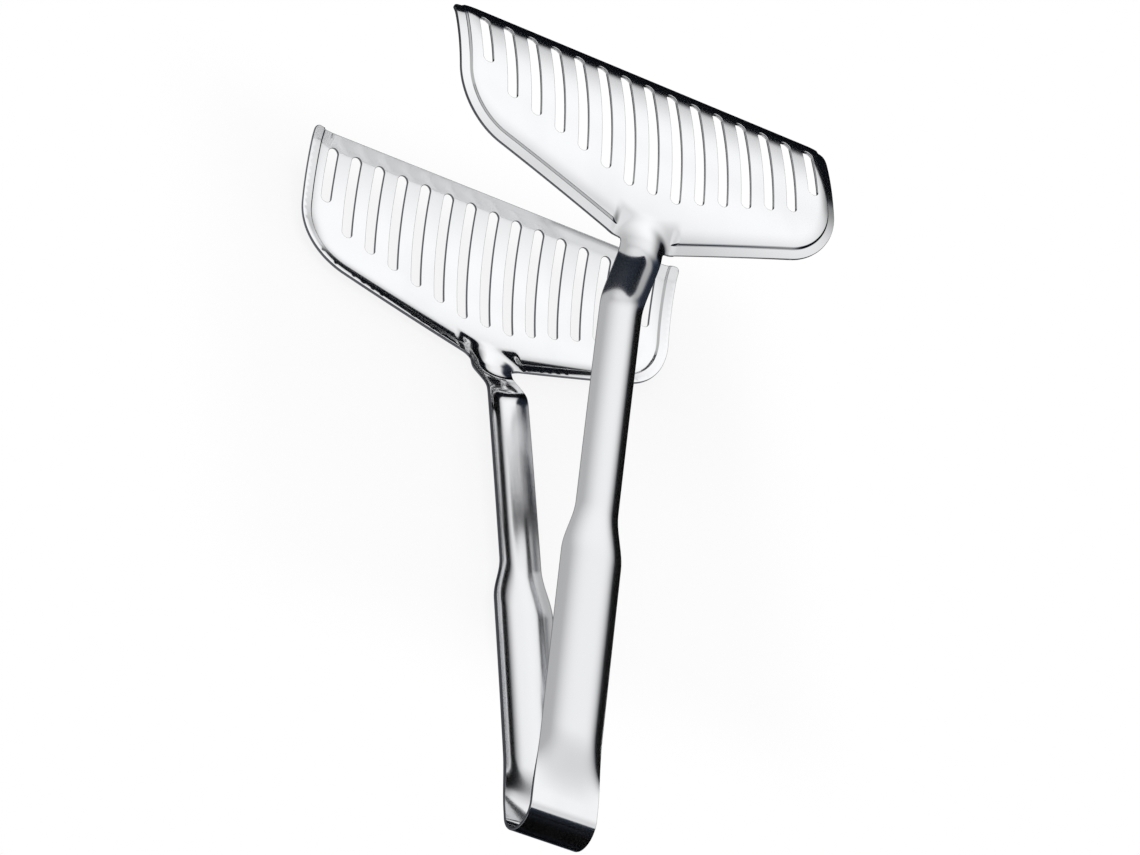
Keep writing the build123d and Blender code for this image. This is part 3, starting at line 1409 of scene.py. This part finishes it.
@dataclass
class Bow:
    """The spring bow that joins the two limbs."""

    laid: TableFrame
    sheet: SheetSizes
    sizes: BowSizes
    worker: SheetWorker
    columns: int = 20
    row_spacing: float = 0.45

    @property
    def arc_length(self) -> float:
        """Length of the outer face from the middle of the bow to the start of a leg."""
        return self.sizes.radius * math.radians(90.0 - self.sizes.leg_angle)

    @property
    def length(self) -> float:
        """Length of the outer face from the middle of the bow to the end of a leg."""
        return self.arc_length + self.sizes.leg_length

    def blank(self) -> bpy.types.Mesh:
        """The flat blank of the whole bow, with its middle at 0.

        Returns:
            A flat mesh in millimetres.
        """
        width = self.sizes.strip_width
        rows = math.ceil(self.length / self.row_spacing)
        places = [
            (width * (column / self.columns - 0.5), self.length * row / rows, 0.0)
            for row in range(-rows, rows + 1)
            for column in range(self.columns + 1)
        ]
        stride = self.columns + 1
        faces = [
            (first, first + 1, first + 1 + stride, first + stride)
            for row in range(2 * rows)
            for first in range(row * stride, row * stride + self.columns)
        ]
        mesh = bpy.data.meshes.new("bow_blank")
        mesh.from_pydata(places, [], faces)
        return mesh

    def tree(self) -> GeometryTree:
        """Builds the node tree that bends the strip round the bow.

        Returns:
            The tree.
        """
        sizes = {
            "Thickness": self.sheet.thickness,
            "Radius": self.sizes.radius,
            "Arc Length": self.arc_length,
            "Face Share": self.sheet.face_share,
        }
        grown = GeometryTree("bend", sizes)
        size = grown.size
        across, along, height = grown.position()
        depth = size("Thickness") - height
        side = along.math("SIGN")
        bent = abs(along).least(size("Arc Length"))
        straight = abs(along) - bent
        turn = bent / size("Radius")
        radius = size("Radius") - depth
        forward = size("Radius") - radius * turn.cosine() + straight * turn.sine()
        up = (radius * turn.sine() + straight * turn.cosine()) * side
        whole = grown.face_side(height, depth)
        normal = self.laid.turned(across * 0.0, turn.cosine() * whole * -1.0, turn.sine() * side * whole)
        noted = grown.noted(grown.inputs.outputs["Geometry"], FACE_NORMAL, normal)
        # The strip's cut edges get the same rougher finish and painted dark shade.
        noted = grown.noted(noted, DULL_SHADED_EDGE, (1.0 - abs(whole),) * 3)
        grown.finish(grown.moved(noted, self.laid.laid(across, forward, up)))
        return grown

    def build(self, steel: bpy.types.Material) -> bpy.types.Object:
        """Cuts, rounds and bends the strip of the bow.

        Args:
            steel: the finish.

        Returns:
            The bow's piece.
        """
        name = "spring_bow_strip"
        slab = self.worker.slab(self.blank(), -self.length, self.length, name)
        return self.worker.finished(name, self.tree().run(slab, steel, name))

    def dress(self, piece: bpy.types.Object) -> None:
        """Ties the piece to its body and hides the node that it stands for.

        Args:
            piece: the bow's piece.
        """
        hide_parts("spring_bow")
        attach(piece, "bow")


@dataclass(frozen=True)
class Viewpoint:
    """The camera of the photograph, in the frame of the tongs' mid-plane."""

    place: tuple[float, float, float] = (-795.56, -770.46, 1215.46)
    right: tuple[float, float, float] = (0.8273752, 0.02354805, 0.56115574)
    down: tuple[float, float, float] = (0.3139914, -0.84779643, -0.42737644)
    ahead: tuple[float, float, float] = (0.46568195, 0.52979874, -0.70883962)
    focal_length: float = 183.81
    sensor: float = 36.0
    far_end: float = 20.0


@dataclass(frozen=True)
class Glow:
    """A soft box as the steel mirrors it; angles are in degrees."""

    azimuth: float
    elevation: float
    core: float
    reach: float
    strength: float = 1.0

    def share(self, east: Field, north: Field, up: Field) -> Field:
        """How much of the box shows in a direction.

        Args:
            east: the x of the direction looked in.
            north: its y.
            up: its z.

        Returns:
            The share, from 0 to 1.
        """
        turn, rise = math.radians(self.azimuth), math.radians(self.elevation)
        axis = (math.cos(rise) * math.cos(turn), math.cos(rise) * math.sin(turn), math.sin(rise))
        toward = east * axis[0] + north * axis[1] + up * axis[2]
        outer, inner = (math.cos(math.radians(angle)) for angle in (self.reach, self.core))
        return toward.ramp(outer, inner, Blend.STRAIGHT) * self.strength


@dataclass(frozen=True)
class DarkZone:
    """A dark stretch of the studio's walls, as the steel mirrors it; angles are in degrees."""

    azimuth: float
    half_width: float
    side_fade: float
    top: float
    fade: float
    level: float = 0.01
    bottom: float = STRAIGHT_DOWN

    def mask(self, east: Field, north: Field, up: Field) -> Field:
        """Share of the light that the zone lets through.

        Args:
            east: the x of the direction looked in.
            north: its y.
            up: its z.

        Returns:
            The share.
        """
        turn = math.radians(self.azimuth)
        flat = (east * east + north * north).root().most(NEARLY_NOTHING)
        toward = (east * math.cos(turn) + north * math.sin(turn)) / flat
        outer, inner = (math.cos(math.radians(self.half_width + extra)) for extra in (self.side_fade, 0.0))
        low, high = (math.sin(math.radians(self.top + extra)) for extra in (0.0, self.fade))
        shade = toward.ramp(outer, inner) * (1.0 - up.ramp(low, high))
        if self.bottom > STRAIGHT_DOWN:
            foot, clear = (math.sin(math.radians(self.bottom + extra)) for extra in (-self.fade, 0.0))
            shade = shade * up.ramp(foot, clear)
        return 1.0 - shade * (1.0 - self.level)


@dataclass
class Studio:
    """The floor, the soft light and the camera.

    The light is plain. Only what the steel mirrors is richer: soft boxes in grey walls with dark stretches.
    """

    laid: TableFrame
    viewpoint: Viewpoint
    floor_low: tuple[float, float] = (-0.12, -0.075)
    floor_high: tuple[float, float] = (0.13, 0.17)
    floor_fade: float = 0.045
    floor_colour: Colour = (0.93, 0.93, 0.93)
    floor_roughness: float = 0.9
    seen_share: float = 0.8
    fill_strength: float = 0.75
    softbox: float = 1.2
    wall: float = 0.56
    dusk: Colour = (0.45, 0.62, 1.0)
    dusk_limit: float = 0.3
    lamp_size: float = 1.2
    lamp_power: float = 6.0
    lamp_place: tuple[float, float, float] = (-0.4, -0.2, 1.4)
    glows: tuple[Glow, ...] = (Glow(45.0, 55.0, 9.0, 51.0), Glow(-60.0, 60.0, 10.0, 30.0, 0.55))
    zones: tuple[DarkZone, ...] = (
        DarkZone(60.0, 48.0, 14.0, 26.3, 1.5, 0.01, -30.0),
        DarkZone(60.0, 48.0, 14.0, 27.0, 13.0, 0.76),
        DarkZone(106.0, 13.0, 9.0, 48.0, 7.0, 0.03),
        DarkZone(10.0, 28.0, 12.0, 16.0, 42.0, 0.08),
        DarkZone(-117.0, 64.0, 3.0, 46.0, 2.0, 0.045, 25.0),
        DarkZone(-61.0, 8.0, 3.0, 30.0, 2.0, 0.045),
        DarkZone(-61.0, 14.0, 3.0, 5.0, 34.0, 0.1),
        DarkZone(-47.2, 4.2, 4.0, 47.0, 2.0, 0.045, 30.0),
        DarkZone(-35.0, 40.0, 14.0, -4.0, 8.0),
        DarkZone(-35.0, 20.0, 14.0, 20.0, 40.0, 0.85),
    )

    def camera(self) -> bpy.types.Object:
        """Places the camera.

        Returns:
            The camera.
        """
        data = bpy.data.cameras.new("camera")
        data.lens = self.viewpoint.focal_length
        data.sensor_width = self.viewpoint.sensor
        data.clip_end = self.viewpoint.far_end
        camera = placed("camera", data)
        axes = [Vector(self.viewpoint.right), -Vector(self.viewpoint.down), -Vector(self.viewpoint.ahead)]
        turned = [Vector(self.laid.turned(*axis)).normalized() for axis in axes]
        pose = Matrix(turned).transposed().to_4x4()
        pose.translation = Vector(self.laid.laid(*self.viewpoint.place))
        camera.matrix_world = pose
        bpy.context.scene.camera = camera
        return camera

    def floor(self) -> bpy.types.Object:
        """Lays the pale floor.

        Returns:
            The floor.
        """
        (left, back), (right, front) = self.floor_low, self.floor_high
        mesh = bpy.data.meshes.new("floor")
        places = [(left, back, 0.0), (right, back, 0.0), (right, front, 0.0), (left, front, 0.0)]
        mesh.from_pydata(places, [], [(0, 1, 2, 3)])
        mesh.materials.append(self.floor_material())
        floor = placed("floor", mesh)
        return floor

    def floor_material(self) -> bpy.types.Material:
        """Makes the floor pale, and lets its edges fade into the white that surrounds it.

        Returns:
            The material.
        """
        material = bpy.data.materials.new("pale_floor")
        material.use_nodes = True
        tree = material.node_tree
        plain = tree.nodes["Principled BSDF"]
        plain.inputs["Base Color"].default_value = (*self.floor_colour, 1.0)
        plain.inputs["Roughness"].default_value = self.floor_roughness
        plain.inputs["Specular IOR Level"].default_value = 0.0
        white = tree.nodes.new("ShaderNodeEmission")
        mix = tree.nodes.new("ShaderNodeMixShader")
        plug(tree, seen_ray(tree) * (1.0 - self.middle(tree) * (1.0 - self.seen_share)), mix.inputs["Fac"])
        plug(tree, plain.outputs[0], mix.inputs[1])
        plug(tree, white.outputs[0], mix.inputs[2])
        plug(tree, mix.outputs[0], tree.nodes["Material Output"].inputs["Surface"])
        return material

    def middle(self, tree: bpy.types.NodeTree) -> Field:
        """Share that is 1 over the middle of the floor and fades to 0 at its edges.

        Args:
            tree: the floor's node tree.

        Returns:
            The share.
        """
        axes = axes_of(tree, tree.nodes.new("ShaderNodeTexCoord").outputs["Object"])
        across, along = (
            axis.ramp(low, low + self.floor_fade) * (1.0 - axis.ramp(high - self.floor_fade, high))
            for axis, low, high in zip(axes, self.floor_low, self.floor_high)
        )
        return across * along

    def sky(self) -> None:
        """Makes the surroundings: an even fill, seen as white, and mirrored as soft boxes and dark stretches."""
        world = bpy.data.worlds.new("studio")
        world.use_nodes = True
        bpy.context.scene.world = world
        tree = world.node_tree
        background = tree.nodes["Background"]
        axes = axes_of(tree, tree.nodes.new("ShaderNodeTexCoord").outputs["Generated"])
        lit = self.glows[0].share(*axes)
        for glow in self.glows[1:]:
            lit = lit.most(glow.share(*axes))
        mirrored = lit * (self.softbox - self.wall) + self.wall
        for zone in self.zones:
            mirrored = mirrored * zone.mask(*axes)
        glossy = ray(tree, "Is Glossy Ray")
        strength = self.fill_strength + glossy * (mirrored - self.fill_strength)
        seen = ray(tree, "Is Camera Ray").most(ray(tree, "Is Transmission Ray"))
        plug(tree, strength.mixed(1.0, seen), background.inputs["Strength"])
        dim = glossy * (1.0 - mirrored.ramp(0.0, self.dusk_limit))
        plug(tree, painted(tree, dim, WHITE, self.dusk), background.inputs["Color"])

    def lamp(self) -> bpy.types.Object:
        """Hangs the soft lamp.

        Returns:
            The lamp.
        """
        data = bpy.data.lights.new("soft_lamp", "AREA")
        data.size = self.lamp_size
        data.energy = self.lamp_power
        lamp = placed("soft_lamp", data)
        lamp.location = self.lamp_place
        lamp.rotation_euler = (-lamp.location).to_track_quat("-Z", "Y").to_euler()
        lamp.visible_glossy = False
        return lamp

    def build(self) -> None:
        """Sets up the whole studio."""
        self.camera()
        self.floor()
        self.sky()
        self.lamp()
        bpy.context.scene.view_settings.view_transform = "Standard"


def ray(tree: bpy.types.NodeTree, kind: str) -> Field:
    """Whether a ray is of a kind."""
    return Field(tree, tree.nodes.new("ShaderNodeLightPath").outputs[kind])


def seen_ray(tree: bpy.types.NodeTree) -> Field:
    """Whether a ray comes from the camera, or from it by way of a mirror or glass."""
    return ray(tree, "Is Camera Ray").most(ray(tree, "Is Glossy Ray")).most(ray(tree, "Is Transmission Ray"))


def main() -> None:
    """Builds the tongs and the studio."""
    logging.basicConfig(level=logging.INFO, format="%(name)s: %(message)s")
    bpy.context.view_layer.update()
    laid, sheet, bow, arm, neck, jaw = TableFrame(), SheetSizes(), BowSizes(), ArmSizes(), NeckSizes(), JawSizes()
    steel = PolishedSteel().material()
    worker = SheetWorker(sheet)
    press = Press(laid, sheet, bow, arm, neck, jaw)
    plan = LimbPlan(bow, arm, neck, jaw, Spacing(), SlotRow(SlotSizes(), jaw))
    parts: list[Bow | Limb] = [Bow(laid, sheet, bow, worker), *(Limb(half, press, plan, worker) for half in Half)]
    for part in parts:
        piece = part.build(steel)
        part.dress(piece)
        log.info("%s: %d faces", piece.name, len(piece.data.polygons))
    Studio(laid, Viewpoint()).build()


if __name__ == "__main__":
    main()
